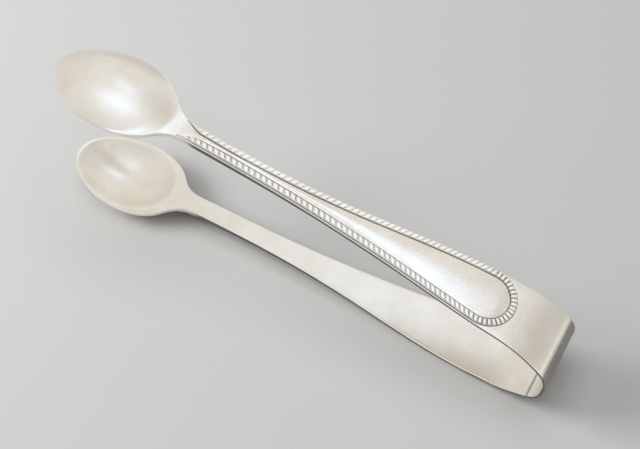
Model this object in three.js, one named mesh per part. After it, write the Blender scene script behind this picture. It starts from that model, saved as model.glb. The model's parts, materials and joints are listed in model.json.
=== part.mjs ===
import * as THREE from 'three';
import { LoftGeometry } from 'three/addons/geometries/LoftGeometry.js';

// Ice tongs: a bent spring strip, the bow, with an arm soldered to each end of it.
// Each arm ends in a spoon bowl and carries a raised border on its outer face.
// Millimetres, +Z up. The tongs lie on the lower arm, with the bow towards +X.
//
// Every piece is laid out along the strip: s is the length along its mid-line from
// the middle of the bow's end, y is across it, and n is square to it, towards the
// outside of the tongs.

// ---- Side view ----
// Arcs that run on from one another: [length, heading where the arc ends]. The
// heading is in degrees from the long axis, and starts at 90 across the bow's end.
const BOW_ARCS = [[1.5, 90], [2.6, 70], [4.6, 32], [4.6, 27], [5.2, 13]];
const ARM_ARCS = [[2, 8], [37, 1], [53, 4], [10, 10]];
const BOWL_LENGTH = 36;
const BOWL_SETTLE = 12.5; // length over which the bowl straightens out of the neck's kick
const BOWL_ARCS = [[BOWL_SETTLE, 1.5], [BOWL_LENGTH - BOWL_SETTLE, 0]];

// ---- Widths ----
const BOW_END_WIDTH = 19;
const SHOULDER_WIDTH = 16.8;
const NECK_WIDTH = 5.6;
const BOWL_WIDTH = 23.8;
const SHOULDER_PAST_SEAM = 4; // the arm starts to taper this far past the seam
const NECK_BEFORE_BOWL = 5; // the arm is narrowest this far before the bowl
const TAPER_POWER = 1.6; // above 1, more of the taper is near the shoulder
const BOWL_EGG = 0.086; // how much wider the bowl is towards the neck than the tip
const FILLET_BEFORE_BOWL = 8; // the neck's fillet starts this far before the bowl
const FILLET_INTO_BOWL = 2.6; // and ends this far into it

// ---- Thicknesses ----
const BOW_THICKNESS = 1.0;
const ARM_THICKNESS = 1.3;
const NECK_THICKNESS = 1.9;
const BOWL_THICKNESS = 1.1;
const BOWL_DEPTH = 5.5; // of the hollow, below the lip
const LIP_WIDTH = 1.2; // flat edge round the hollow
const HOLLOW_START = 4; // the hollow starts this far into the bowl, past the neck
const BACK_START = 2; // and the bowl's back starts to bulge this far into it

// ---- Border and panel ----
const BORDER_WIDTH = 1.9;
const BORDER_NECK_WIDTH = 1.6;
const BORDER_TAPER = 16; // length over which the border narrows towards the neck
const BORDER_POINT = 5; // length over which each end of the border comes to a point
const BORDER_BEFORE_BOWL = 3; // the border's two ends stop this far before the bowl
const BORDER_PAST_SEAM = 2.4; // gap between the seam and the border's round end
const BORDER_INSET = 0.25; // the border stands back this much from the arm's edge
const BORDER_HEIGHT = 0.55;
const BORDER_TIP_WIDTH = 0.3; // each pointed end of the border is cut off this wide
const BORDER_TIP_HEIGHT = 0.165; // and this high
const PANEL_RISE = 0.3; // step up from the border's seat to the edge of the panel
const PANEL_CROWN = 0.25; // further rise to the middle of the panel
const PANEL_RAMP = 3; // length over which the panel fades out towards the neck

// ---- Fits ----
const SOLDER_GAP = 0.3; // between the bow and each arm, and under the border

// ---- Fineness of the surfaces ----
const BOW_STEP = 1; // longest facet along the bow
const ARM_STEP = 3.5; // longest facet along the arm and its border
const NECK_STEP = 1.3; // the same at the neck
const ROUND_END_SIDES = 24; // facets round the border's round end
const BOWL_STATIONS = 26;
const BOWL_TIP_ANGLE = 5; // degrees of the bowl's outline that its blunt tip cuts off
const CROWN_POINTS = 6; // points from the middle of the panel or hollow to its edge
const BORDER_SIDES = 6; // facets over the border's half-round section
const LEAST_HEAD = 0.15; // the head of a step stays this share of the half-width from the middle

const SILVER = { color: 0xd9d4ca, metalness: 1 };

// ---- The strip's mid-line ----

// Turns [length, end heading] pairs into arcs with their start point and heading.
function chainArcs(pairs) {
  const arcs = [];
  let start = { s: 0, x: 0, z: 0, heading: Math.PI / 2 };
  for (const [length, degrees] of pairs) {
    const turn = THREE.MathUtils.degToRad(degrees) - start.heading;
    const arc = { ...start, length, turn };
    arcs.push(arc);
    start = { s: arc.s + length, ...pointOnArc(arc, length) };
  }
  return arcs;
}

// The point and heading a distance along one arc.
function pointOnArc(arc, distance) {
  const curvature = arc.turn / arc.length;
  const heading = arc.heading + curvature * distance;
  if (Math.abs(curvature) < 1e-9) {
    const x = arc.x - distance * Math.cos(heading);
    const z = arc.z + distance * Math.sin(heading);
    return { x, z, heading };
  }
  const x = arc.x - (Math.sin(heading) - Math.sin(arc.heading)) / curvature;
  const z = arc.z + (Math.cos(arc.heading) - Math.cos(heading)) / curvature;
  return { x, z, heading };
}

const ARCS = chainArcs([...BOW_ARCS, ...ARM_ARCS, ...BOWL_ARCS]);
const totalLength = (pairs) => pairs.reduce((sum, [length]) => sum + length, 0);
const SEAM = totalLength(BOW_ARCS);
const BOWL_START = SEAM + totalLength(ARM_ARCS);
const STRIP_END = BOWL_START + BOWL_LENGTH;

// A point of the upper half of the tongs, from its place on the strip.
function stripPoint(s, y, n) {
  const last = ARCS[ARCS.length - 1];
  const arc = ARCS.find((each) => s <= each.s + each.length) ?? last;
  const { x, z, heading } = pointOnArc(arc, s - arc.s);
  return new THREE.Vector3(x + n * Math.sin(heading), y, z + n * Math.cos(heading));
}

// ---- Outline and thickness along the strip ----

const SHOULDER = SEAM + SHOULDER_PAST_SEAM;
const NECK = BOWL_START - NECK_BEFORE_BOWL;
const FILLET_START = BOWL_START - FILLET_BEFORE_BOWL;
const FILLET_END = BOWL_START + FILLET_INTO_BOWL;
const BOWL_RADIUS = BOWL_LENGTH / 2;
const BOWL_MIDDLE = BOWL_START + BOWL_RADIUS;
const clamp01 = (value) => THREE.MathUtils.clamp(value, 0, 1);
const smooth = (value) => THREE.MathUtils.smoothstep(value, 0, 1);

function armHalfWidth(s) {
  if (s < SHOULDER) {
    return THREE.MathUtils.lerp(BOW_END_WIDTH, SHOULDER_WIDTH, s / SHOULDER) / 2;
  }
  const share = clamp01((NECK - s) / (NECK - SHOULDER)) ** TAPER_POWER;
  return THREE.MathUtils.lerp(NECK_WIDTH, SHOULDER_WIDTH, smooth(share)) / 2;
}

// An egg with its longest radius along the strip.
function eggHalfWidth(s, middle, radius, halfWidth) {
  const share = THREE.MathUtils.clamp((s - middle) / radius, -1, 1);
  return halfWidth * Math.sqrt(1 - share * share) * (1 - BOWL_EGG * share);
}

const bowlHalfWidth = (s) => eggHalfWidth(s, BOWL_MIDDLE, BOWL_RADIUS, BOWL_WIDTH / 2);

function slope(widthAt, s) {
  const step = 1e-3;
  return (widthAt(s + step) - widthAt(s - step)) / (2 * step);
}

// The outline: the arm, the bowl, and a cubic fillet that is tangent to both.
function halfWidth(s) {
  if (s <= FILLET_START) return armHalfWidth(s);
  if (s >= FILLET_END) return bowlHalfWidth(s);
  const span = FILLET_END - FILLET_START;
  const t = (s - FILLET_START) / span;
  const fromArm = armHalfWidth(FILLET_START) * (1 + 2 * t) * (1 - t) ** 2;
  const toBowl = bowlHalfWidth(FILLET_END) * t * t * (3 - 2 * t);
  const armTangent = slope(armHalfWidth, FILLET_START) * span * t * (1 - t) ** 2;
  const bowlTangent = slope(bowlHalfWidth, FILLET_END) * span * t * t * (t - 1);
  return fromArm + toBowl + armTangent + bowlTangent;
}

// Eases through [s, value] stations.
function through(stations, s) {
  const next = stations.findIndex(([at]) => s < at);
  if (next === 0) return stations[0][1];
  if (next < 0) return stations[stations.length - 1][1];
  const [fromS, from] = stations[next - 1];
  const [toS, to] = stations[next];
  return THREE.MathUtils.lerp(from, to, smooth((s - fromS) / (toS - fromS)));
}

const THICKNESS_STATIONS = [
  [SEAM, BOW_THICKNESS],
  [(SEAM + NECK) / 2, ARM_THICKNESS],
  [NECK, NECK_THICKNESS],
  [BOWL_START + HOLLOW_START, BOWL_THICKNESS],
];
const thickness = (s) => through(THICKNESS_STATIONS, s);

// ---- Bowl ----

// How far a dish with an egg outline lies below its edge.
function dishDepth(s, y, start, end, edge, depth) {
  const middle = (start + end) / 2;
  const radius = (end - start) / 2;
  const along = (s - middle) / radius;
  const across = y / (edge * (1 - BOWL_EGG * along));
  return depth * Math.max(0, 1 - along * along - across * across);
}

// The hollow is set in from the outline by the lip.
const HOLLOW_EDGE = BOWL_WIDTH / 2 - LIP_WIDTH;
const HOLLOW_FROM = BOWL_START + HOLLOW_START;
const HOLLOW_TO = STRIP_END - LIP_WIDTH;
const hollowDepth = (s, y) => dishDepth(s, y, HOLLOW_FROM, HOLLOW_TO, HOLLOW_EDGE, BOWL_DEPTH);

function hollowHalfWidth(s) {
  return eggHalfWidth(s, (HOLLOW_FROM + HOLLOW_TO) / 2, (HOLLOW_TO - HOLLOW_FROM) / 2, HOLLOW_EDGE);
}

// The back bulges as much as the hollow is deep, from an outline that is a lip wider.
function backBulge(s, y) {
  return dishDepth(s, y, BOWL_START + BACK_START, STRIP_END, BOWL_WIDTH / 2, BOWL_DEPTH);
}

// ---- Border and panel outlines ----

const BORDER_STOP = BOWL_START - BORDER_BEFORE_BOWL;
const ROUND_END = SEAM + BORDER_PAST_SEAM;

// The border's round end is a circle that touches both edges of the arm.
function roundEndCircle() {
  let radius = SHOULDER_WIDTH / 2 - BORDER_INSET;
  for (let pass = 0; pass < 8; pass += 1) {
    radius = armHalfWidth(ROUND_END + radius) - BORDER_INSET;
  }
  return { middle: ROUND_END + radius, radius };
}

const ROUND = roundEndCircle();

function borderWidth(s) {
  const taper = smooth(clamp01((s - (BORDER_STOP - BORDER_TAPER)) / BORDER_TAPER));
  const full = THREE.MathUtils.lerp(BORDER_WIDTH, BORDER_NECK_WIDTH, taper);
  const point = smooth(clamp01((BORDER_STOP - s) / BORDER_POINT));
  return THREE.MathUtils.lerp(BORDER_TIP_WIDTH, full, point);
}

function borderHeight(s) {
  const point = smooth(clamp01((BORDER_STOP - s) / BORDER_POINT));
  return THREE.MathUtils.lerp(BORDER_TIP_HEIGHT, BORDER_HEIGHT, point);
}

const PANEL_RADIUS = ROUND.radius - BORDER_WIDTH - SOLDER_GAP;
const PANEL_START = ROUND.middle - PANEL_RADIUS;

// Half the width of the panel that the border goes round.
function panelHalfWidth(s) {
  if (s < ROUND.middle) {
    const along = ROUND.middle - s;
    return Math.sqrt(Math.max(0, PANEL_RADIUS * PANEL_RADIUS - along * along));
  }
  return halfWidth(s) - BORDER_INSET - borderWidth(s) - SOLDER_GAP;
}

// How far the panel stands up from the border's seat.
function panelRise(s, y) {
  const edge = panelHalfWidth(s);
  if (s <= PANEL_START || s >= BORDER_STOP || Math.abs(y) > edge) return 0;
  const fade = smooth(clamp01((BORDER_STOP - s) / PANEL_RAMP));
  const across = y / edge;
  const end = clamp01((s - PANEL_START) / PANEL_RAMP);
  return fade * (PANEL_RISE + PANEL_CROWN * (1 - across * across) * end);
}

// ---- Bow ----

// Evenly spaced stations from one s to another, no further apart than a step.
function stations(from, to, step) {
  const count = Math.max(1, Math.ceil((to - from) / step));
  return Array.from({ length: count + 1 }, (_, i) => from + ((to - from) * i) / count);
}

// The same, for each arc of a chain, so that the arcs' ends are stations too.
function arcStations(from, to, step) {
  const ends = ARCS.map((arc) => arc.s).filter((s) => s > from && s < to);
  const marks = [from, ...ends, to];
  const pieces = marks.slice(1).map((mark, i) => stations(marks[i], mark, step).slice(1));
  return [from, ...pieces.flat()];
}

function bowSection(s, side) {
  const width = halfWidth(s);
  const depth = thickness(s) / 2;
  const corners = [[-width, depth], [width, depth], [width, -depth], [-width, -depth]];
  return corners.map(([y, n]) => {
    const point = stripPoint(s, y, n);
    return new THREE.Vector3(point.x, point.y, side * point.z);
  });
}

// The bow is one strip, from the lower arm's seam round to the upper arm's.
function makeBow() {
  const half = arcStations(0, SEAM - SOLDER_GAP / 2, BOW_STEP).slice(1);
  const lower = half.map((s) => bowSection(s, -1)).reverse();
  const upper = half.map((s) => bowSection(s, 1));
  return new LoftGeometry([...lower, ...upper], { capStart: true, capEnd: true });
}

// ---- Arm with its bowl ----

// Places across the strip: its edge, the foot and the head of the step at the panel's
// or the hollow's edge, and points from there to the middle.
function acrossPlaces(s) {
  const edge = halfWidth(s);
  const inBowl = s > BORDER_STOP;
  const head = Math.max(inBowl ? hollowHalfWidth(s) : panelHalfWidth(s), edge * LEAST_HEAD);
  const foot = inBowl ? (edge + head) / 2 : Math.min(head + SOLDER_GAP, (edge + head) / 2);
  const places = [edge, foot, head];
  for (let i = CROWN_POINTS - 1; i > 0; i -= 1) places.push((head * i) / CROWN_POINTS);
  return [...places.map((y) => -y), 0, ...places.reverse()];
}

function armSection(s) {
  const places = acrossPlaces(s);
  const depth = thickness(s) / 2;
  const outer = places.map((y) => stripPoint(s, y, depth + backBulge(s, y) + panelRise(s, y)));
  const inner = places.map((y) => stripPoint(s, y, -depth + hollowDepth(s, y))).reverse();
  return [...outer, ...inner];
}

// Stations crowd together towards the tip, where the outline turns fast.
function bowlStations(from) {
  const start = Math.acos((BOWL_MIDDLE - from) / BOWL_RADIUS);
  const end = Math.PI - THREE.MathUtils.degToRad(BOWL_TIP_ANGLE);
  return stations(start, end, (end - start) / BOWL_STATIONS).map(
    (angle) => BOWL_MIDDLE - BOWL_RADIUS * Math.cos(angle),
  );
}

// Stations that the arm shares with its border, so that their facets run side by side.
const BORDER_POINT_START = BORDER_STOP - BORDER_POINT;
const SHARED_STATIONS = [
  ...stations(ROUND.middle, BORDER_POINT_START, ARM_STEP),
  ...stations(BORDER_POINT_START, BORDER_STOP, NECK_STEP).slice(1),
];
const ROUND_END_ANGLES = stations(-Math.PI / 2, Math.PI / 2, Math.PI / ROUND_END_SIDES).slice(1, -1);

function makeArm() {
  const round = ROUND_END_ANGLES.filter((angle) => angle > 1e-6);
  const along = [
    SEAM + SOLDER_GAP / 2,
    PANEL_START,
    ...round.map((angle) => ROUND.middle - PANEL_RADIUS * Math.cos(angle)),
    ...SHARED_STATIONS,
    ...stations(BORDER_STOP, FILLET_END, NECK_STEP).slice(1),
    ...bowlStations(FILLET_END).slice(1),
  ];
  return new LoftGeometry(along.map(armSection), { capStart: true, capEnd: true });
}

// ---- Border ----

// The border's line on the arm: down one edge, round its end and back up the other.
// Each stop is on the border's outer edge, with the direction across it, inwards.
function borderStops() {
  const far = SHARED_STATIONS.map((s) => {
    return { s, y: halfWidth(s) - BORDER_INSET, ds: 0, dy: -1, at: s };
  });
  const near = far.map((stop) => ({ ...stop, y: -stop.y, dy: -stop.dy }));
  const round = ROUND_END_ANGLES.map((angle) => {
    const s = ROUND.middle - ROUND.radius * Math.cos(angle);
    const y = -ROUND.radius * Math.sin(angle);
    return { s, y, ds: Math.cos(angle), dy: Math.sin(angle), at: ROUND.middle };
  });
  return [...far.reverse(), ...round, ...near];
}

function borderSection(stop) {
  const width = borderWidth(stop.at);
  const height = borderHeight(stop.at);
  const section = [];
  for (let i = 0; i <= BORDER_SIDES; i += 1) {
    const angle = (Math.PI * i) / BORDER_SIDES;
    const across = (width * (1 - Math.cos(angle))) / 2;
    const s = stop.s + stop.ds * across;
    const y = stop.y + stop.dy * across;
    const seat = thickness(s) / 2 + backBulge(s, y) + SOLDER_GAP;
    section.push(stripPoint(s, y, seat + height * Math.sin(angle)));
  }
  return section;
}

function makeBorder() {
  return new LoftGeometry(borderStops().map(borderSection), { capStart: true, capEnd: true });
}

// ---- Assembly ----

function piece(name, geometry, roughness) {
  const material = new THREE.MeshStandardMaterial({ ...SILVER, roughness });
  const mesh = new THREE.Mesh(geometry, material);
  mesh.name = name;
  return mesh;
}

const tongs = new THREE.Group();
tongs.add(piece('bow_spring', makeBow(), 0.22));
for (const side of ['upper', 'lower']) {
  const arm = new THREE.Group();
  arm.add(piece(`${side}_arm`, makeArm(), 0.25));
  arm.add(piece(`${side}_border`, makeBorder(), 0.35));
  arm.rotation.x = side === 'upper' ? 0 : Math.PI;
  tongs.add(arm);
}

// The lowest corner of the tongs on one side of a place along them, when tipped.
function lowestCorner(corners, tip) {
  const height = (corner) => corner.z * Math.cos(tip) - corner.x * Math.sin(tip);
  return corners.reduce((low, corner) => (height(corner) < height(low) ? corner : low));
}

// The tip that lays the back of the lower bowl and the shoulder of the lower arm on
// one level.
function restingTip(corners) {
  const middle = new THREE.Box3().setFromPoints(corners).getCenter(new THREE.Vector3()).x;
  const bowlSide = corners.filter((corner) => corner.x < middle);
  const bowSide = corners.filter((corner) => corner.x >= middle);
  let tip = 0;
  for (let pass = 0; pass < 20; pass += 1) {
    const bowl = lowestCorner(bowlSide, tip);
    const bow = lowestCorner(bowSide, tip);
    tip = Math.atan2(bow.z - bowl.z, bow.x - bowl.x);
  }
  return tip;
}

function allCorners(root) {
  const corners = [];
  root.updateMatrixWorld(true);
  root.traverse((mesh) => {
    if (!mesh.isMesh) return;
    const positions = mesh.geometry.attributes.position;
    for (let i = 0; i < positions.count; i += 1) {
      corners.push(new THREE.Vector3().fromBufferAttribute(positions, i).applyMatrix4(mesh.matrixWorld));
    }
  });
  return corners;
}

// The tongs lie at rest on Z = 0, with the middle of their footprint at the origin.
tongs.rotation.y = restingTip(allCorners(tongs));
const box = new THREE.Box3().setFromPoints(allCorners(tongs));
const centre = box.getCenter(new THREE.Vector3());
tongs.position.set(-centre.x, -centre.y, -box.min.z);

const iceTongs = new THREE.Group();
iceTongs.add(tongs);

export default iceTongs;
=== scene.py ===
"""Ice tongs: a bent spring strip with a bordered arm and a spoon bowl soldered to each end."""

import json
import math

import bpy
import numpy as np
from mathutils import Matrix, Vector


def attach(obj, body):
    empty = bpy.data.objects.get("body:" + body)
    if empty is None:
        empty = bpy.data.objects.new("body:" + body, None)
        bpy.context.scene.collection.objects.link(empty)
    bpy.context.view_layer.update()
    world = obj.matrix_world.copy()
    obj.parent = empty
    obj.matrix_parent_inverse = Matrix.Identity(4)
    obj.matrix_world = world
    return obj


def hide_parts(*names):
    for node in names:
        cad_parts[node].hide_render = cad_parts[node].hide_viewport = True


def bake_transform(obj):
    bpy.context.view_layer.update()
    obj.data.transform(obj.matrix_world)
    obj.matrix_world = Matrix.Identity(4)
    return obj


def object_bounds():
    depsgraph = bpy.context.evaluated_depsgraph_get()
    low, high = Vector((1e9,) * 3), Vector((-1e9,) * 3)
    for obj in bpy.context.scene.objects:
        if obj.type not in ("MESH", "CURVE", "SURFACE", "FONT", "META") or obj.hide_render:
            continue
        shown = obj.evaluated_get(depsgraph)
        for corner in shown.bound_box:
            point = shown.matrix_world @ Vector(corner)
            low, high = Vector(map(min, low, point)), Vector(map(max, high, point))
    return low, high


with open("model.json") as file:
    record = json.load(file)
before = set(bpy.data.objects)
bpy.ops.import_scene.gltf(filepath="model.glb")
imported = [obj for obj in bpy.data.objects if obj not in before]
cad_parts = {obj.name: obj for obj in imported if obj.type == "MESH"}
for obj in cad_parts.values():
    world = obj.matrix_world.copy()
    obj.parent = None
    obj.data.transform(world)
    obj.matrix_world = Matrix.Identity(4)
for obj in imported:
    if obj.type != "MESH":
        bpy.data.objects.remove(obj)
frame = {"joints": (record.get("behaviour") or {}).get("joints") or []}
CAD_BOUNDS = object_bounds()

# Lengths are in millimetres and follow the CAD source. Along the strip, s runs from the
# middle of the bow's end, y across it, and n square to it, outwards.

# ---- Side view: arcs as (length, heading in degrees where the arc ends) ----
BOW_ARCS = [(1.5, 90), (2.6, 70), (4.6, 32), (4.6, 27), (5.2, 13)]
ARM_ARCS = [(2, 8), (37, 1), (53, 4), (10, 10)]
BOWL_ARCS = [(12.5, 1.5), (23.5, 0)]
SEAM = sum(length for length, _ in BOW_ARCS)
BOWL_START = SEAM + sum(length for length, _ in ARM_ARCS)
STRIP_END = BOWL_START + sum(length for length, _ in BOWL_ARCS)

# ---- Outline ----
BOW_END_WIDTH = 19.0
SHOULDER_WIDTH = 16.8
NECK_WIDTH = 5.6
BOWL_WIDTH = 23.8
SHOULDER = SEAM + 4.0
NECK = BOWL_START - 5.0
TAPER_POWER = 1.6
BOWL_EGG = 0.086
FILLET_START = BOWL_START - 8.0
FILLET_END = BOWL_START + 2.6

# ---- Thickness and bowl. A ramp is (where it starts or ends, its length) ----
THICKNESSES = [(SEAM, 1.0), ((SEAM + NECK) / 2, 1.3), (NECK, 1.9), (BOWL_START + 4.0, 1.1)]
EDGE_ROUNDING = 0.3
BOWL_DEPTH = 5.5
LIP_WIDTH = 1.2
HOLLOW_START = BOWL_START + 4.0
HOLLOW_RAMP = (BOWL_START - 2.0, 4.0)
HOLLOW_SOFTNESS = 0.07
BACK_START = BOWL_START + 2.0
BACK_RAMP = (BOWL_START - 3.0, 6.0)
BACK_SOFTNESS = 0.24
BACK_SOFT_RAMP = (BOWL_START + 12.0, 10.0)
BACK_LEAST_SOFTNESS = 0.002

# ---- Border and panel ----
BORDER_WIDTH = 1.9
BORDER_NECK_WIDTH = 1.6
BORDER_TIP_WIDTH = 0.3
BORDER_TAPER = 16.0
BORDER_POINT = 5.0
BORDER_STOP = BOWL_START - 3.0
BORDER_INSET = 0.25
BORDER_TOP = 0.85
ROUND_END = SEAM + 2.4
PANEL_RISE = 0.3
PANEL_CROWN = 0.25
PANEL_RAMP = 3.0
PANEL_STEP = 0.16
PANEL_GAP = 0.1
NECK_RAMP = (BORDER_STOP + 1.0, 9.0)

MM = 0.001
TINY = 1e-3


# ---- The strip's shape ----


def smooth(t):
    t = np.clip(t, 0.0, 1.0)
    return t * t * (3.0 - 2.0 * t)


def rise(value, start, length):
    """0 up to the start, 1 a length past it, and eased between them."""
    return smooth((value - start) / length)


def fall(value, end, length):
    """1 up to a length before the end, 0 from the end on, and eased between them."""
    return smooth((end - value) / length)


def mix(a, b, t):
    return a + (b - a) * t


def arm_half_width(s):
    share = np.clip((NECK - s) / (NECK - SHOULDER), 0, 1) ** TAPER_POWER
    tapered = mix(NECK_WIDTH, SHOULDER_WIDTH, smooth(share))
    straight = mix(BOW_END_WIDTH, SHOULDER_WIDTH, s / SHOULDER)
    return np.where(s < SHOULDER, straight, tapered) / 2


def egg_half_width(s, start, end, half_width):
    share = np.clip((s - (start + end) / 2) / ((end - start) / 2), -1, 1)
    return half_width * np.sqrt(1 - share * share) * (1 - BOWL_EGG * share)


def bowl_half_width(s):
    return egg_half_width(s, BOWL_START, STRIP_END, BOWL_WIDTH / 2)


def slope(width_at, s):
    return (width_at(s + TINY) - width_at(s - TINY)) / (2 * TINY)


def half_width(s):
    """Half the width of the strip: the arm, the bowl, and a cubic fillet between them."""
    s = np.asarray(s, float)
    span = FILLET_END - FILLET_START
    t = np.clip((s - FILLET_START) / span, 0, 1)
    fillet = (
        arm_half_width(FILLET_START) * (1 + 2 * t) * (1 - t) ** 2
        + bowl_half_width(FILLET_END) * t * t * (3 - 2 * t)
        + slope(arm_half_width, FILLET_START) * span * t * (1 - t) ** 2
        + slope(bowl_half_width, FILLET_END) * span * t * t * (t - 1)
    )
    past = np.where(s >= FILLET_END, bowl_half_width(s), fillet)
    return np.where(s <= FILLET_START, arm_half_width(s), past)


def through(stations, s):
    """Eases through (s, value) stations."""
    s = np.asarray(s, float)
    value = np.full(s.shape, float(stations[0][1]))
    for (a, u), (b, v) in zip(stations[:-1], stations[1:]):
        value = np.where(s >= a, mix(u, v, rise(s, a, b - a)), value)
    return value


def thickness(s):
    return through(THICKNESSES, s)


def mid_line(s):
    """x, z and heading of the upper strip's mid-line, in the tongs' own frame."""
    s = np.asarray(s, float)
    x, z, heading = (np.zeros(s.shape) for _ in range(3))
    at, start = 0.0, np.array([0.0, 0.0, math.pi / 2])
    for length, degrees in BOW_ARCS + ARM_ARCS + BOWL_ARCS:
        here = (s >= at) | (at == 0)
        curve = (math.radians(degrees) - start[2]) / length
        points = arc_points(start, curve, s[here] - at)
        x[here], z[here], heading[here] = points
        start = np.array([float(v) for v in arc_points(start, curve, np.array(length))])
        at += length
    return x, z, heading


def arc_points(start, curve, distance):
    """x, z and heading a distance along an arc."""
    heading = start[2] + curve * distance
    if abs(curve) < 1e-9:
        run = distance * np.cos(heading), distance * np.sin(heading)
    else:
        run = (
            (np.sin(heading) - np.sin(start[2])) / curve,
            (np.cos(start[2]) - np.cos(heading)) / curve,
        )
    return start[0] - run[0], start[1] + run[1], heading


# ---- From the tongs' own frame to the row frame, by the two joints at the seams ----


def find_tip():
    """The angle that the tongs are tipped by, and where their own origin is."""
    joints = {joint["child"]: Vector(joint["pos_m"]) for joint in frame["joints"]}
    upper, lower = joints["upper_arm"], joints["bow"]
    tip = math.atan2(upper.x - lower.x, upper.z - lower.z)
    seam_x = float(mid_line(np.array([SEAM]))[0][0])
    along = Vector((math.cos(tip), 0, -math.sin(tip)))
    return tip, (upper + lower) / 2 - MM * seam_x * along


TIP, ORIGIN = find_tip()
TURN = np.array(Matrix.Rotation(TIP, 3, "Y"))


def place(x, y, z, side=1):
    """Points of the tongs' own frame, in millimetres, as metres in the row frame."""
    own = np.stack(np.broadcast_arrays(x, side * np.asarray(y), side * np.asarray(z)), -1)
    return own * MM @ TURN.T + np.array(ORIGIN)


def strip_points(s, y, n, side):
    s, y, n = np.broadcast_arrays(s, y, n)
    x, z, heading = mid_line(s)
    return place(x + n * np.sin(heading), y, z + n * np.cos(heading), side)


# ---- Surfaces of an arm ----


def dish(s, y, start, end, edge, softness):
    """Depth of a dish with an egg outline, with its edge rounded by the softness."""
    along = (s - (start + end) / 2) / ((end - start) / 2)
    across = y / (edge * (1 - BOWL_EGG * along))
    share = 1 - along * along - across * across
    return BOWL_DEPTH * (share + np.sqrt(share * share + softness * softness)) / 2


def hollow_depth(s, y):
    edge = BOWL_WIDTH / 2 - LIP_WIDTH
    deep = dish(s, y, HOLLOW_START, STRIP_END - LIP_WIDTH, edge, HOLLOW_SOFTNESS)
    return deep * rise(s, *HOLLOW_RAMP)


def back_bulge(s, y):
    softness = BACK_SOFTNESS * fall(s, *BACK_SOFT_RAMP) + BACK_LEAST_SOFTNESS
    return dish(s, y, BACK_START, STRIP_END, BOWL_WIDTH / 2, softness) * rise(s, *BACK_RAMP)


def round_end_circle():
    """Middle and radius of the border's round end, which touches the arm's two edges."""
    passes = 8
    radius = SHOULDER_WIDTH / 2 - BORDER_INSET
    for _ in range(passes):
        radius = float(arm_half_width(ROUND_END + radius)) - BORDER_INSET
    return ROUND_END + radius, radius


ROUND_MIDDLE, ROUND_RADIUS = round_end_circle()
PANEL_RADIUS = ROUND_RADIUS - BORDER_WIDTH - PANEL_GAP
PANEL_START = ROUND_MIDDLE - PANEL_RADIUS


def border_point(s):
    return fall(s, BORDER_STOP, BORDER_POINT)


def border_width(s):
    taper = rise(s, BORDER_STOP - BORDER_TAPER, BORDER_TAPER)
    return mix(BORDER_TIP_WIDTH, mix(BORDER_WIDTH, BORDER_NECK_WIDTH, taper), border_point(s))


def panel_half_width(s):
    along = np.clip(ROUND_MIDDLE - s, 0, PANEL_RADIUS)
    straight = half_width(s) - BORDER_INSET - border_width(s) - PANEL_GAP
    return np.where(s < ROUND_MIDDLE, np.sqrt(PANEL_RADIUS**2 - along**2), straight)


def into_panel(s, y):
    """Distance in from the edge of the panel."""
    from_middle = np.hypot(np.minimum(s - ROUND_MIDDLE, 0), y)
    from_side = panel_half_width(s) - np.abs(y)
    return np.where(s < ROUND_MIDDLE, PANEL_RADIUS - from_middle, from_side)


def panel_rise(s, y):
    """How far the panel stands up from the seat of the border."""
    edge = np.maximum(panel_half_width(s), TINY)
    crown = PANEL_CROWN * np.clip(1 - (y / edge) ** 2, 0, 1) * rise(s, PANEL_START, PANEL_RAMP)
    step = smooth(into_panel(s, y) / PANEL_STEP)
    return fall(s, *NECK_RAMP) * (PANEL_RISE + crown) * step


def outer_relief(s, y):
    return back_bulge(s, y) + panel_rise(s, y)


def no_relief(s, y):
    return 0 * y


# ---- Meshes ----

SHARP_ANGLE = math.radians(50)


def side_quads(count, around, turned=False):
    """Faces between one loop of points and the next."""
    i, j = np.meshgrid(np.arange(count - 1), np.arange(around), indexing="ij")
    here, after = i * around, (j + 1) % around
    there = here + around
    corners = [here + j, here + after, there + after, there + j]
    if turned:
        corners = [corners[0], *corners[:0:-1]]
    return np.stack(corners, -1).reshape(-1, 4).tolist()


def end_faces(base, around, turned):
    """Faces that close a loop, in strips that each join one side to its mirror image."""
    faces = []
    for k in range(around // 2):
        strip = [k, k + 1, (around - k - 1) % around, (around - k) % around]
        face = [base + corner for corner in dict.fromkeys(strip)]
        faces.append(face[::-1] if turned else face)
    return faces


def lofted(name, rows, marks, material):
    """A closed mesh through rows of points. Each row is a loop that starts and, half
    way round, passes through the middle of the strip, and mirrors itself about it."""
    count, around = rows.shape[:2]
    faces = side_quads(count, around)
    faces += end_faces(0, around, turned=True)
    faces += end_faces((count - 1) * around, around, turned=False)
    return mesh_piece(name, rows.reshape(-1, 3), faces, marks, material)


def mesh_piece(name, points, faces, marks, material):
    """A smooth-shaded mesh with its marks kept as point attributes."""
    mesh = bpy.data.meshes.new(name)
    mesh.from_pydata(points.tolist(), [], faces)
    mesh.validate()
    for mark, values in marks.items():
        kind, field = ("FLOAT_VECTOR", "vector") if values.ndim > 1 else ("FLOAT", "value")
        layer = mesh.attributes.new(mark, kind, "POINT")
        layer.data.foreach_set(field, values.astype(np.float32).ravel())
    mesh.shade_smooth()
    mesh.set_sharp_from_angle(angle=SHARP_ANGLE)
    mesh.materials.append(material)
    piece = bpy.data.objects.new(name, mesh)
    bpy.context.scene.collection.objects.link(piece)
    return piece


# How many places there are across half a row: on the crown, on the step down from it, on
# the ledge beside the edge, and round the edge itself.
CROWN_STEPS = 12
STEP_STEPS = 5
LEDGE_STEPS = 4
ARC_STEPS = 5
# The step's head and foot stay within these shares of the way to the edge, and the edge
# stays this far from the middle.
HEAD_LIMIT = 0.9
FOOT_LIMIT = 0.95
LEAST_EDGE = 0.02


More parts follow.
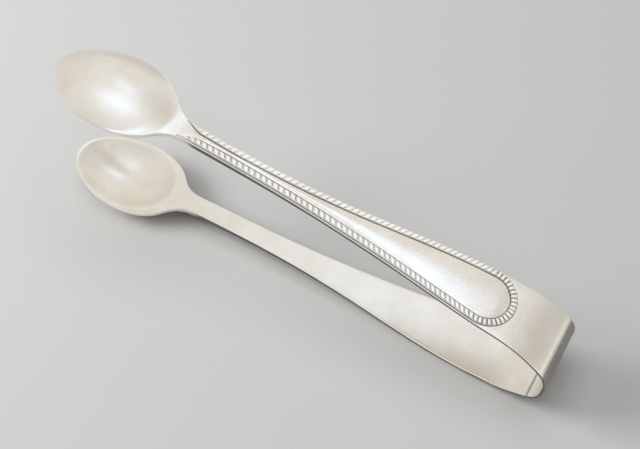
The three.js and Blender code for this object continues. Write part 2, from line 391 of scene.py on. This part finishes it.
def half_places(head, foot, edge):
    """Places across half of each row, with a step between its head and its foot."""
    head = np.minimum(head, edge * HEAD_LIMIT)[:, None]
    foot = np.minimum(foot, edge * FOOT_LIMIT)[:, None]
    crown = np.linspace(0, 1, CROWN_STEPS + 1)[None, :]
    step = np.linspace(0, 1, STEP_STEPS + 1)[None, 1:]
    ledge = np.linspace(0, 1, LEDGE_STEPS + 1)[None, 1:]
    return np.concatenate([crown * head, mix(head, foot, step), mix(foot, edge[:, None], ledge)], 1)


def outward(s, width):
    """The direction square to the outline, as (along s, across)."""
    tangent = np.stack([np.gradient(s), np.gradient(width)], -1)
    tangent /= np.linalg.norm(tangent, axis=1)[:, None]
    return np.stack([-tangent[:, 1], tangent[:, 0]], -1)


def strip_rows(s, outer_step, inner_step, outer_rise, inner_rise):
    """Loops of (s, y, n) round the strip, with its edges rounded square to its outline.
    Each face has the head and foot of its step, and how far it rises from the strip."""
    width = half_width(s)
    normal = outward(s, width)
    depth = thickness(s) / 2
    edge_s = s - EDGE_ROUNDING * normal[:, 0]
    edge_y = np.maximum(width - EDGE_ROUNDING * normal[:, 1], LEAST_EDGE)
    outer_y = half_places(*outer_step, edge_y)
    inner_y = half_places(*inner_step, edge_y)
    face_s = np.broadcast_to(edge_s[:, None], outer_y.shape)
    angles = np.radians(np.linspace(90, 0, ARC_STEPS + 1))[None, 1:]
    arc_s = edge_s[:, None] + EDGE_ROUNDING * np.cos(angles) * normal[:, :1]
    arc_y = edge_y[:, None] + EDGE_ROUNDING * np.cos(angles) * normal[:, 1:]
    arc_n = depth[:, None] - EDGE_ROUNDING * (1 - np.sin(angles))
    top = [face_s, outer_y, depth[:, None] + outer_rise(face_s, outer_y)]
    top_arc = [arc_s, arc_y, arc_n + outer_rise(arc_s, arc_y)]
    low_arc = [arc_s, arc_y, -arc_n + inner_rise(arc_s, arc_y)]
    low = [face_s, inner_y, -depth[:, None] + inner_rise(face_s, inner_y)]
    low_arc, low = ([values[:, ::-1] for values in part] for part in (low_arc, low))
    half = np.stack([np.concatenate(parts, 1) for parts in zip(top, top_arc, low_arc, low)], -1)
    other = half[:, -2:0:-1] * np.array([1, -1, 1])
    return np.concatenate([half, other], 1)


SIDES = {1: "upper", -1: "lower"}
# Painted shade on the strip's sides: how dark it is, how wide a band, where it fades out before the
# bowl, and how soft its edges are.
SIDE_PAINTED_SHADE = 0.75
SIDE_BAND = 0.2
SIDE_RAMP = (BORDER_STOP, 6.0)
SIDE_SHADE_BLUR = 0.15


def strip_piece(name, rows, tarnish_and_shade, side, material):
    flat = rows.reshape(-1, 3)
    points = strip_points(*flat.T, side)
    marks = {"strip": flat, "tarnish_and_shade": tarnish_and_shade(flat)}
    return lofted(name, points.reshape(rows.shape), marks, material)


def painted_shade_on_sides(flat):
    """Painted shade on the sides of the strip, up to the bowl: a dark band that stands in for the
    dark reflection on them.
    """
    s, y, n = flat.T
    wall = rise(np.abs(y), half_width(s) - SIDE_BAND, SIDE_SHADE_BLUR)
    wall = wall * fall(np.abs(n), thickness(s) / 2 - SIDE_BAND / 2, SIDE_SHADE_BLUR)
    return SIDE_PAINTED_SHADE * wall * fall(s, *SIDE_RAMP)


# ---- Arms ----

# The bow's halves and the arms end this far from the middle of the seam.
SEAM_GAP = 0.001
SEAM_STATIONS = 4
SEAM_MARGIN = 0.2
ROUND_END_STATIONS = 25
ARM_STATIONS = 92
NECK_STATIONS = 16
BOWL_STATIONS = 74
BOWL_TIP_ANGLE = 0.02

# Where there is no panel or hollow to set a step by, it is at a share of the half-width.
BEFORE_PANEL = 0.3
BOWL_HEAD = 0.7
BOWL_FOOT = 0.9
LIP_AT_NECK = 0.4
INTO_BOWL = (BORDER_STOP, 6.0)
LIP_BAND = (-0.5, 0.3)

# The dark line in the groove round the panel: where it ends on the panel's side and on
# the border's, how dark it is round the end and along the sides, and where that changes.
GROOVE_TOP = (0.07, 0.08)
GROOVE_BOTTOM = (-0.5, 0.1)
GROOVE_SOOT = (0.3, 0.85)
GROOVE_RAMP = (ROUND_MIDDLE - 2.0, 12.0)
GROOVE_MARGIN = 0.3


def arm_stations():
    """Places along an arm, closest together where the outline turns most."""
    quarter = np.linspace(0, math.pi / 2, ROUND_END_STATIONS)
    middle, radius = (BOWL_START + STRIP_END) / 2, (STRIP_END - BOWL_START) / 2
    fillet_angle = math.acos((middle - FILLET_END) / radius)
    angles = np.linspace(fillet_angle, math.pi - BOWL_TIP_ANGLE, BOWL_STATIONS)
    return np.concatenate(
        [
            np.array([SEAM + SEAM_GAP]),
            np.linspace(SEAM + SEAM_MARGIN, PANEL_START - SEAM_MARGIN, SEAM_STATIONS),
            ROUND_MIDDLE - PANEL_RADIUS * np.cos(quarter),
            np.linspace(ROUND_MIDDLE, BORDER_STOP, ARM_STATIONS)[1:],
            np.linspace(BORDER_STOP, FILLET_END, NECK_STATIONS)[1:-1],
            middle - radius * np.cos(angles),
        ]
    )


def panel_step(s):
    """Head and foot of the step round the panel, which spread out over the bowl."""
    width = half_width(s)
    panel = np.where(s < PANEL_START, BEFORE_PANEL * width, panel_half_width(s))
    in_bowl = rise(s, *INTO_BOWL)
    foot = mix(panel, BOWL_FOOT * width, in_bowl)
    head = np.maximum(foot - PANEL_STEP * (1 - in_bowl), 0)
    return mix(head, BOWL_HEAD * width, in_bowl), foot


def lip_step(s):
    """The two sides of a narrow band round the inner edge of the bowl's lip."""
    hollow = egg_half_width(s, HOLLOW_START, STRIP_END - LIP_WIDTH, BOWL_WIDTH / 2 - LIP_WIDTH)
    lip = np.maximum(hollow, LIP_AT_NECK * half_width(s))
    return lip + LIP_BAND[0], lip + LIP_BAND[1]


def arm_tarnish_and_shade(flat):
    """How dark the arm is made: tarnish settled in the groove at the edge of the panel, and painted
    shade on the strip's sides.
    """
    s, y, n = flat.T
    inside = into_panel(s, y)
    groove = fall(inside, *GROOVE_TOP) * rise(inside, *GROOVE_BOTTOM)
    groove = groove * mix(*GROOVE_SOOT, rise(s, *GROOVE_RAMP)) * (n > 0)
    groove = groove * (s > PANEL_START - GROOVE_MARGIN) * (s < BORDER_STOP + GROOVE_MARGIN)
    return np.maximum(groove, painted_shade_on_sides(flat))


def make_arm(side, material):
    s = arm_stations()
    rows = strip_rows(s, panel_step(s), lip_step(s), outer_relief, hollow_depth)
    return strip_piece(f"{SIDES[side]}_arm_shell", rows, arm_tarnish_and_shade, side, material)


# ---- Bow ----

BOW_STATIONS = 70
BOW_HEAD = 0.85
BOW_FOOT = 0.93
BEND = 7.5
# Painted shade: how dark the outside of the bow's end is made up to the bend, and the dark line
# painted inside each tight bend.
BOW_END_PAINTED_SHADE = 0.62
BOW_END_RAMP = (BEND, 0.9)
BEND_PAINTED_SHADE = 0.65
BEND_LINE = BEND + 0.2
BEND_LINE_REACH = 0.8


def bow_painted_shade(flat):
    """Painted shade on the bow: its end darkened outside up to the bend, a dark line painted inside
    each tight bend, and the painted shade on its sides.
    """
    s, _, n = flat.T
    outside = BOW_END_PAINTED_SHADE * fall(s, *BOW_END_RAMP) * (n > 0)
    inside = BEND_PAINTED_SHADE * smooth(1 - np.abs(s - BEND_LINE) / BEND_LINE_REACH) * (n < 0)
    return np.maximum(painted_shade_on_sides(flat), outside + inside)


def make_bow_half(side, material):
    s = np.linspace(0, SEAM - SEAM_GAP, BOW_STATIONS)
    step = BOW_HEAD * half_width(s), BOW_FOOT * half_width(s)
    rows = strip_rows(s, step, step, no_relief, no_relief)
    return strip_piece(f"bow_{SIDES[side]}_half", rows, bow_painted_shade, side, material)


# ---- Border of slanted lobes ----

LOBE_PITCHES = [(ROUND_MIDDLE - 4, 1.3), (42, 1.45), (56, 1.6), (78, 1.75), (96, 1.8)]
STATIONS_PER_LOBE = 22
ACROSS_STATIONS = 19
LINE_STATIONS = 1500
ROUND_STATIONS = 200
LOBE_SLANT = 0.95
LOBE_HOOK = 0.45
HOOK_POWER = 5
LOBE_GROOVE = 0.3
OUTER_GROOVE = 0.07
LEAST_HEIGHT = 0.03
BORDER_SINK = 0.05
TIP_HEIGHT = 0.25

# Along the border from the middle of its round end: where its lobes start to slant, and
# where they turn from those of the round end into those of the sides.
SLANT_RAMP = (10.0, 7.0)
SIDE_LOBE_RAMP = (8.0, 10.0)

# Each lobe has a narrow ridge beside it. Middles and reaches are shares of the pitch, and
# pairs are the value along the sides and the value round the end.
LOBE_MIDDLE = 0.43
LOBE_REACH = (0.415, 0.37)
LOBE_FLATNESS = 6
NARROW_MIDDLE = 0.93
NARROW_REACH = 0.07
NARROW_FLATNESS = 4
NARROW_HEIGHT = (0.9, 0.3)
END_FLATNESS = 6
# How dark the tarnish and painted shade are between the lobes, and along the border's two edges.
LOBE_TARNISH_AND_SHADE = (0.85, 0.98)
END_TARNISH_AND_SHADE = 0.85

# Ramps of tarnish and painted shade: the height, of 1, below which it gathers, and how far below it
# is full.
LOBE_TARNISH_AND_SHADE_RAMP = (0.66, 0.4)
END_TARNISH_AND_SHADE_RAMP = (0.45, 0.3)


def border_line():
    """The border's line on the arm, from its middle down one side: place, direction
    across it inwards, distance along it, and the s that sets its width."""
    straight = np.linspace(ROUND_MIDDLE, BORDER_STOP, LINE_STATIONS)
    angles = np.linspace(0, math.pi / 2, ROUND_STATIONS)[:-1]
    s = np.concatenate([ROUND_MIDDLE - ROUND_RADIUS * np.cos(angles), straight])
    y = np.concatenate([ROUND_RADIUS * np.sin(angles), half_width(straight) - BORDER_INSET])
    into_s = np.concatenate([np.cos(angles), 0 * straight])
    into_y = np.concatenate([-np.sin(angles), 0 * straight - 1])
    run = np.concatenate([[0], np.cumsum(np.hypot(np.diff(s), np.diff(y)))])
    return np.stack([s, y, into_s, into_y, run, np.maximum(s, ROUND_MIDDLE)])


def lobe_stations():
    """The same line, sampled evenly along the lobes, with the lobe count at each place."""
    line = border_line()
    s, run = line[0], line[4]
    pitch = through(LOBE_PITCHES, s)
    count = np.concatenate([[0], np.cumsum(np.diff(run) / ((pitch[1:] + pitch[:-1]) / 2))])
    even = np.arange(0, count[-1], 1 / STATIONS_PER_LOBE)
    return np.array([np.interp(even, count, row) for row in line]), even


def lobe_height(run, count, pitch, v):
    """Height of the border over its seat, and its tarnish and painted shade (dark between the lobes
    and along its two edges), for a place across it, v, from 0 at its outer edge to 1 at its inner
    edge."""
    across = np.clip((v - OUTER_GROOVE) / (1 - OUTER_GROOVE), 0, 1)
    from_middle = across - 0.5
    slant = LOBE_SLANT * rise(run, *SLANT_RAMP)
    shift = slant * (from_middle + LOBE_HOOK * (2 * from_middle) ** HOOK_POWER)
    phase = (count - shift / pitch) % 1.0
    at_end = 1 - rise(run, *SIDE_LOBE_RAMP)
    lobe = np.clip(np.abs(phase - LOBE_MIDDLE) / mix(*LOBE_REACH, at_end), 0, 1)
    narrow = np.clip(np.abs(phase - NARROW_MIDDLE) / NARROW_REACH, 0, 1)
    narrow_top = mix(*NARROW_HEIGHT, at_end) * (1 - narrow**NARROW_FLATNESS)
    ridge = np.sqrt(np.maximum(1 - lobe**LOBE_FLATNESS, narrow_top))
    ends = np.sqrt(np.clip(1 - (2 * across - 1) ** END_FLATNESS, 0, 1))
    height = np.maximum((BORDER_TOP - LOBE_GROOVE * (1 - ridge)) * ends, LEAST_HEIGHT)
    tarnish_and_shade = mix(*LOBE_TARNISH_AND_SHADE, at_end) * fall(ridge, *LOBE_TARNISH_AND_SHADE_RAMP)
    return height, np.maximum(tarnish_and_shade, END_TARNISH_AND_SHADE * fall(ends, *END_TARNISH_AND_SHADE_RAMP))


def places_across():
    """From 0 at the border's outer edge to 1 at its inner edge, closest near both."""
    angles = np.linspace(0, math.pi, ACROSS_STATIONS)
    return np.concatenate([[0.0], 1 - (1 - OUTER_GROOVE) * (1 + np.cos(angles)) / 2])


def border_rows():
    """Loops of (s, y, n) round the border from one tip to the other, and their tarnish and painted
    shade.
    """
    half, count = lobe_stations()
    mirror = np.array([1, -1, 1, -1, 1, 1])[:, None]
    line = np.concatenate([(half * mirror)[:, :0:-1], half], 1)
    count = np.concatenate([count[:0:-1], count])[:, None]
    s, y, into_s, into_y, run, width_s = line[:, :, None]
    v = places_across()[None, :]
    height, tarnish_and_shade = lobe_height(run, count, through(LOBE_PITCHES, s), v)
    height = height * mix(TIP_HEIGHT, 1, border_point(width_s))
    top_s = s + into_s * v * border_width(width_s)
    top_y = y + into_y * v * border_width(width_s)
    seat = thickness(top_s) / 2 + back_bulge(top_s, top_y)
    top = np.stack([top_s, top_y, seat + height], -1)
    base = np.stack([top_s, top_y, seat - BORDER_SINK], -1)[:, [-1, 0]]
    # The seat under the border is fully dark: painted shade where the border meets the arm.
    tarnish_and_shade = np.concatenate([tarnish_and_shade, np.ones((len(tarnish_and_shade), 2))], 1)
    return np.concatenate([top, base], 1), tarnish_and_shade


def make_border(side, material):
    rows, tarnish_and_shade = border_rows()
    count, around = rows.shape[:2]
    flat = rows.reshape(-1, 3)
    points = strip_points(*flat.T, side)
    faces = side_quads(count, around, turned=True)
    faces.append(list(range(around)))
    faces.append(list(range((count - 1) * around, count * around))[::-1])
    marks = {"strip": flat, "tarnish_and_shade": tarnish_and_shade.ravel()}
    return mesh_piece(f"{SIDES[side]}_lobed_border", points, faces, marks, material)


# ---- Materials ----


class Nodes:
    """Short names for adding and linking the nodes of one material or world."""

    def __init__(self, owner):
        owner.use_nodes = True
        self.owner = owner
        self.tree = owner.node_tree
        self.shader = self.tree.nodes.get("Principled BSDF")

    def add(self, kind, **settings):
        node = self.tree.nodes.new(kind)
        for key, value in settings.items():
            setattr(node, key, value)
        return node

    def link(self, source, target):
        self.tree.links.new(source, target)

    def attribute(self, name, output):
        return self.add("ShaderNodeAttribute", attribute_name=name).outputs[output]

    def split(self, vector):
        node = self.add("ShaderNodeSeparateXYZ")
        self.link(vector, node.inputs[0])
        return node.outputs

    def math(self, operation, a, b=0.5):
        node = self.add("ShaderNodeMath", operation=operation)
        for socket, value in zip(node.inputs, (a, b)):
            if isinstance(value, (int, float)):
                socket.default_value = value
            else:
                self.link(value, socket)
        return node.outputs[0]

    def plus(self, total, value, share):
        """The total with a share of the value added to it."""
        return self.math("ADD", total, self.math("MULTIPLY", value, share))

    def spread(self, value, low, high, to_low=0.0, to_high=1.0, smoother=False):
        node = self.add("ShaderNodeMapRange")
        node.interpolation_type = "SMOOTHSTEP" if smoother else "LINEAR"
        self.link(value, node.inputs["Value"])
        keys = ("From Min", "From Max", "To Min", "To Max")
        for key, number in zip(keys, (low, high, to_low, to_high)):
            node.inputs[key].default_value = number
        return node.outputs["Result"]

    def scaled(self, vector, scale):
        node = self.add("ShaderNodeMapping")
        self.link(vector, node.inputs["Vector"])
        node.inputs["Scale"].default_value = scale
        return node.outputs["Vector"]

    def noise(self, vector, scale, detail, roughness=0.55):
        node = self.add("ShaderNodeTexNoise")
        self.link(vector, node.inputs["Vector"])
        node.inputs["Scale"].default_value = scale
        node.inputs["Detail"].default_value = detail
        node.inputs["Roughness"].default_value = roughness
        return node.outputs["Fac"]

    def blend_colours(self, share, a, b):
        node = self.add("ShaderNodeMix", data_type="RGBA")
        self.link(share, node.inputs["Factor"])
        for socket, value in ((node.inputs[6], a), (node.inputs[7], b)):
            if isinstance(value, tuple):
                socket.default_value = (*value, 1)
            else:
                self.link(value, socket)
        return node.outputs[2]


SILVER_COLOUR = (0.93, 0.885, 0.815)
WORN_COLOUR = (0.97, 0.945, 0.9)
TARNISH_COLOUR = (0.74, 0.665, 0.545)
SPECK_COLOUR = (0.32, 0.245, 0.17)
# Near black: tarnish in the grooves, and painted shade on the strip's sides, the bow and where the
# border meets the arm.
TARNISH_AND_SHADE_COLOUR = (0.035, 0.03, 0.024)

# Noises as (scale per millimetre, detail, roughness).
CLOUD = (0.11, 4, 0.55)
MOTTLE = (0.9, 5, 0.65)
GRAIN = (2.4, 3, 0.7)
RARITY = (0.7, 2, 0.55)
HAIR = (2.2, 5, 0.7)
FINE = (9.0, 4, 0.6)
SPECK_SCALE = 1.1

# Ranges of a noise or a place over which a mark fades in, or out where so named.
CLOUD_TARNISH = (0.42, 0.68)
CLOUD_WEAR_OUT = (0.3, 0.45)
MOTTLE_TARNISH = (0.45, 0.8)
MOTTLE_ROUGHNESS = (0.3, 0.75)
GRAIN_RANGE = (0.42, 0.68)
GRAIN_S_OUT = (BOWL_START - 8.5, BOWL_START + 3.5)
GRAIN_N = (0.5, 0.7)
SPECK_OUT = (0.05, 0.13)
SPECK_RARITY = (0.5, 0.62)
TARNISH_AND_SHADE_RANGE = (0.1, 1.0)
INSIDE_N_OUT = (-0.25, 0.1)
INSIDE_S_OUT = (BOWL_START - 1.5, BOWL_START + 6.5)
BOWL_S = (BOWL_START + 0.5, BOWL_START + 8.5)
SOLDER_LINE = SEAM - 0.3
SOLDER_OUT = (0.35, 1.1)
HAIR_RANGE = (0.56, 0.74)
HAIR_STRETCHES = ((0.12, 5.0, 5.0), (3.0, 0.35, 3.0))

# Shares of each mark in the colour, the roughness and the bump.
TARNISH_FROM_CLOUD = 0.22
TARNISH_FROM_MOTTLE = 0.16
WEAR_SHARE = 0.5
SPECK_SHARE = 0.55
SOLDER_SHARE = 0.2
SMOOTHEST, ROUGHEST = 0.93, 1.1
SCRATCH_ROUGHNESS = 0.07
INSIDE_ROUGHNESS = 0.08
BOWL_ROUGHNESS = 0.1
SOLDER_ROUGHNESS = 0.04
TARNISH_AND_SHADE_ROUGHNESS = 0.35
SPECK_ROUGHNESS = 0.2
FINE_BUMP = 0.5
SCRATCH_BUMP = 0.6
BUMP_STRENGTH = 0.05
BUMP_DISTANCE = 0.00002


class Silver(Nodes):
    """Old silver: warm, faintly mottled and specked, with hairline scratches, and darkened by
    tarnish and by painted shade where the mesh marks it.
    """

    def __init__(self, name, colour, roughness, tarnish_and_shade_strength=1.0, grain_strength=0.0):
        super().__init__(bpy.data.materials.new(name))
        self.place = self.attribute("strip", "Vector")
        self.s, _, self.n = self.split(self.place)
        self.cloud = self.noise(self.place, *CLOUD)
        self.mottle = self.noise(self.place, *MOTTLE)
        self.dots = self.specks()
        self.scratch = self.scratches()
        # The mesh's mark of tarnish in grooves and painted shade on sides, bends, the bow's end and
        # the border's edges.
        tarnish_and_shade = self.spread(self.attribute("tarnish_and_shade", "Fac"), *TARNISH_AND_SHADE_RANGE, smoother=True)
        self.tarnish_and_shade = self.math("MULTIPLY", tarnish_and_shade, tarnish_and_shade_strength)
        from_seam = self.math("ABSOLUTE", self.math("SUBTRACT", self.s, SOLDER_LINE))
        self.solder = self.spread(from_seam, *SOLDER_OUT, 1, 0, smoother=True)
        self.link(self.colour(colour, grain_strength), self.shader.inputs["Base Color"])
        self.link(self.roughness(roughness), self.shader.inputs["Roughness"])
        self.link(self.bump(), self.shader.inputs["Normal"])
        self.shader.inputs["Metallic"].default_value = 1.0

    def specks(self):
        """Small dark dots, here and there."""
        cells = self.add("ShaderNodeTexVoronoi", feature="F1")
        self.link(self.place, cells.inputs["Vector"])
        cells.inputs["Scale"].default_value = SPECK_SCALE
        rare = self.spread(self.noise(self.place, *RARITY), *SPECK_RARITY)
        dots = self.spread(cells.outputs["Distance"], *SPECK_OUT, 1, 0)
        return self.math("MULTIPLY", dots, rare)

    def scratches(self):
        """Hairlines along the strip and across it."""
        hairs = []
        for stretch in HAIR_STRETCHES:
            hair = self.noise(self.scaled(self.place, stretch), *HAIR)
            hairs.append(self.spread(hair, *HAIR_RANGE))
        return self.math("MAXIMUM", *hairs)

    def grain(self, strength):
        """A finer tarnish, on the panels alone."""
        before_bowl = self.spread(self.s, *GRAIN_S_OUT, 1, 0, smoother=True)
        on_panel = self.math("MULTIPLY", self.spread(self.n, *GRAIN_N), before_bowl)
        grain = self.spread(self.noise(self.place, *GRAIN), *GRAIN_RANGE, 0, strength)
        return self.math("MULTIPLY", grain, on_panel)

    def colour(self, colour, grain_strength):
        tarnish = self.spread(self.cloud, *CLOUD_TARNISH, smoother=True)
        tarnish = self.math("MULTIPLY", tarnish, TARNISH_FROM_CLOUD)
        mottle = self.spread(self.mottle, *MOTTLE_TARNISH, 0, TARNISH_FROM_MOTTLE)
        tarnish = self.math("ADD", tarnish, mottle)
        tarnish = self.math("ADD", tarnish, self.grain(grain_strength))
        colour = self.blend_colours(tarnish, colour, TARNISH_COLOUR)
        wear = self.spread(self.cloud, *CLOUD_WEAR_OUT, WEAR_SHARE, 0)
        colour = self.blend_colours(wear, colour, WORN_COLOUR)
        specks = self.math("MULTIPLY", self.dots, SPECK_SHARE)
        colour = self.blend_colours(specks, colour, SPECK_COLOUR)
        # Blend in near-black: tarnish in the grooves and painted shade.
        colour = self.blend_colours(self.tarnish_and_shade, colour, TARNISH_AND_SHADE_COLOUR)
        solder = self.math("MULTIPLY", self.solder, SOLDER_SHARE)
        return self.blend_colours(solder, colour, WORN_COLOUR)

    def roughness(self, roughness):
        inside = self.spread(self.n, *INSIDE_N_OUT, 1, 0)
        inside = self.math("MULTIPLY", inside, self.spread(self.s, *INSIDE_S_OUT, 1, 0))
        bowl = self.spread(self.s, *BOWL_S, smoother=True)
        smoothest, roughest = roughness * SMOOTHEST, roughness * ROUGHEST
        rough = self.spread(self.mottle, *MOTTLE_ROUGHNESS, smoothest, roughest)
        rough = self.plus(rough, self.scratch, SCRATCH_ROUGHNESS)
        rough = self.plus(rough, inside, INSIDE_ROUGHNESS)
        rough = self.plus(rough, bowl, BOWL_ROUGHNESS)
        rough = self.plus(rough, self.solder, SOLDER_ROUGHNESS)
        rough = self.plus(rough, self.tarnish_and_shade, TARNISH_AND_SHADE_ROUGHNESS)
        return self.plus(rough, self.dots, SPECK_ROUGHNESS)

    def bump(self):
        bump = self.add("ShaderNodeBump")
        bump.inputs["Strength"].default_value = BUMP_STRENGTH
        bump.inputs["Distance"].default_value = BUMP_DISTANCE
        fine = self.math("MULTIPLY", self.noise(self.place, *FINE), FINE_BUMP)
        height = self.math("SUBTRACT", fine, self.math("MULTIPLY", self.scratch, SCRATCH_BUMP))
        self.link(self.math("SUBTRACT", height, self.dots), bump.inputs["Height"])
        return bump.outputs["Normal"]


# ---- Stage, light and camera ----

FLOOR_SIZE = 3.0
FLOOR_DROP = 0.00005
FLOOR_COLOUR = (0.66, 0.66, 0.65, 1)
FLOOR_ROUGHNESS = 0.9
FLOOR_SPECULAR = 0.2
CEILING_STRENGTH = 1.5
CEILING_ANGLE = math.radians(70)


def floor():
    mesh = bpy.data.meshes.new("floor")
    corners = [(x * FLOOR_SIZE, y * FLOOR_SIZE, 0) for x, y in ((-1, -1), (1, -1), (1, 1), (-1, 1))]
    mesh.from_pydata(corners, [], [(0, 1, 2, 3)])
    plane = bpy.data.objects.new("floor", mesh)
    plane.location.z = CAD_BOUNDS[0].z - FLOOR_DROP
    bpy.context.scene.collection.objects.link(plane)
    m = Nodes(bpy.data.materials.new("floor"))
    m.shader.inputs["Base Color"].default_value = FLOOR_COLOUR
    m.shader.inputs["Roughness"].default_value = FLOOR_ROUGHNESS
    m.shader.inputs["Specular IOR Level"].default_value = FLOOR_SPECULAR
    mesh.materials.append(m.owner)


def softbox(name, direction, distance, size, power):
    """A rectangular area light that faces the tongs from a direction in the row frame. It
    lights the floor; the silver reflects the white room instead."""
    data = bpy.data.lights.new(name, "AREA")
    data.shape = "RECTANGLE"
    data.size, data.size_y = size
    data.energy = power
    light = bpy.data.objects.new(name, data)
    towards = Vector(direction).normalized()
    light.location = towards * distance
    light.rotation_euler = towards.to_track_quat("Z", "Y").to_euler()
    light.visible_glossy = False
    bpy.context.scene.collection.objects.link(light)


def ceiling():
    """An even light from above, so that the floor is as pale far off as it is near."""
    data = bpy.data.lights.new("ceiling", "SUN")
    data.energy = CEILING_STRENGTH
    data.angle = CEILING_ANGLE
    light = bpy.data.objects.new("ceiling", data)
    light.visible_glossy = False
    bpy.context.scene.collection.objects.link(light)


# The room is painted by direction, as the x and y of a unit vector in the row frame. A
# window is its middle, its turn from the x axis, and then along it and across it, how far
# from the middle the light is full and how far it is gone.
LOW_WINDOW = ((0.06, -0.21), math.radians(28), (0.15, 0.6), (0.04, 0.36))
HIGH_WINDOW = ((0.07, 0.35), 0.0, (0.1, 0.32), (0.08, 0.16))
LOW_STRENGTH = 0.6
HIGH_STRENGTH = 0.58
WALL_COLOUR = (1.0, 0.985, 0.955)
WINDOW_COLOUR = (0.86, 0.99, 1.2)

# Strengths of the walls along x or y, as (start, end, value up to the start, value from
# the end on). The shade is taken off where x and y are both within or past their ranges.
WALL_BY_BOW = (0.5, 0.8, 0.82, 0.7)
LIGHT_BEHIND_BOW = (0.83, 0.88, 0, 0.35)
DIM_PAST_BOWLS = (-1.0, -0.6, 0.85, 1.0)
DIM_IN_FRONT = (-0.85, -0.55, 0.82, 1.0)
SHADE_X = (0.12, 0.4)
SHADE_Y = (0.2, 0.42)
SHADE = 0.12


def glow(m, x, y, middle, turn, *reaches):
    """A soft patch of light, with its long axis turned from the x axis."""
    a, b = math.cos(turn), math.sin(turn)
    fades = []
    for (p, q), (full, none) in zip(((a, b), (-b, a)), reaches):
        place = m.math("ADD", m.math("MULTIPLY", x, p), m.math("MULTIPLY", y, q))
        off = m.math("SUBTRACT", place, p * middle[0] + q * middle[1])
        fades.append(m.spread(m.math("ABSOLUTE", off), full, none, 1, 0, smoother=True))
    return m.math("MULTIPLY", *fades)


def walls(m, x, y):
    """How bright the room is apart from its windows."""
    strength = m.spread(x, *WALL_BY_BOW, smoother=True)
    strength = m.math("ADD", strength, m.spread(x, *LIGHT_BEHIND_BOW))
    strength = m.math("MULTIPLY", strength, m.spread(x, *DIM_PAST_BOWLS))
    shade = m.math("MULTIPLY", m.spread(x, *SHADE_X), m.spread(y, *SHADE_Y))
    strength = m.math("SUBTRACT", strength, m.math("MULTIPLY", shade, SHADE))
    return m.math("MULTIPLY", strength, m.spread(y, *DIM_IN_FRONT))


def white_room():
    """Pale warm walls and ceiling for the silver to reflect, with two soft bluish windows.
    The floor is lit by the lamps alone."""
    world = bpy.data.worlds.new("white room")
    bpy.context.scene.world = world
    world.cycles_visibility.diffuse = False
    m = Nodes(world)
    x, y, _ = m.split(m.add("ShaderNodeTexCoord").outputs["Generated"])
    low, high = glow(m, x, y, *LOW_WINDOW), glow(m, x, y, *HIGH_WINDOW)
    strength = m.plus(m.plus(walls(m, x, y), low, LOW_STRENGTH), high, HIGH_STRENGTH)
    colour = m.blend_colours(m.math("MAXIMUM", low, high), WALL_COLOUR, WINDOW_COLOUR)
    background = m.tree.nodes["Background"]
    m.link(strength, background.inputs["Strength"])
    m.link(colour, background.inputs["Color"])


def lights():
    ceiling()
    softbox("fill", direction=(-0.3, 0.3, 0.9), distance=0.9, size=(0.9, 0.9), power=0.8)
    softbox("key", direction=(-0.8, -0.25, 0.5), distance=0.8, size=(0.4, 0.4), power=4.6)
    white_room()


# The camera in the tongs' own frame: its place in millimetres, and its axes.
CAMERA_PLACE = (-8.139, -132.775, 249.659)
CAMERA_RIGHT = (0.86604707, 0.49702998, 0.05407101)
CAMERA_UP = (-0.45124143, 0.73049889, 0.51259393)
CAMERA_BACK = (0.21527573, -0.46832955, 0.85692695)
CAMERA_LENS = 61.32
CAMERA_SENSOR = 36
CAMERA_CLIP = (0.01, 20)


def camera():
    data = bpy.data.cameras.new("camera")
    data.lens = CAMERA_LENS
    data.sensor_width = CAMERA_SENSOR
    data.clip_start, data.clip_end = CAMERA_CLIP
    axes = np.array([CAMERA_RIGHT, CAMERA_UP, CAMERA_BACK]) @ TURN.T
    matrix = np.eye(4)
    matrix[:3, :3] = axes.T
    matrix[:3, 3] = place(*CAMERA_PLACE)
    cam = bpy.data.objects.new("camera", data)
    bpy.context.scene.collection.objects.link(cam)
    cam.matrix_world = Matrix(matrix.tolist())
    bpy.context.scene.camera = cam


# ---- Assembly ----


def assemble():
    arm_silver = Silver("arm silver", SILVER_COLOUR, 0.24, grain_strength=0.4).owner
    bow_silver = Silver("bow silver", SILVER_COLOUR, 0.2).owner
    # The border takes the lighter worn colour: rubbed raised relief, and also a painted highlight
    # that makes its lobes read white.
    border_silver = Silver("border silver", WORN_COLOUR, 0.26, tarnish_and_shade_strength=0.85).owner
    bend_middle = strip_points(0.0, 0.0, 0.0, 1)
    for side, name in SIDES.items():
        arm = make_arm(side, arm_silver)
        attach(arm, f"{name}_arm")
        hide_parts(f"{name}_arm")
        border = make_border(side, border_silver)
        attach(border, f"{name}_arm")
        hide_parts(f"{name}_border")
        bow = make_bow_half(side, bow_silver)
        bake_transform(bow)
        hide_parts("bow_spring")


bpy.context.scene.view_settings.view_transform = "Standard"
floor()
lights()
camera()
assemble()
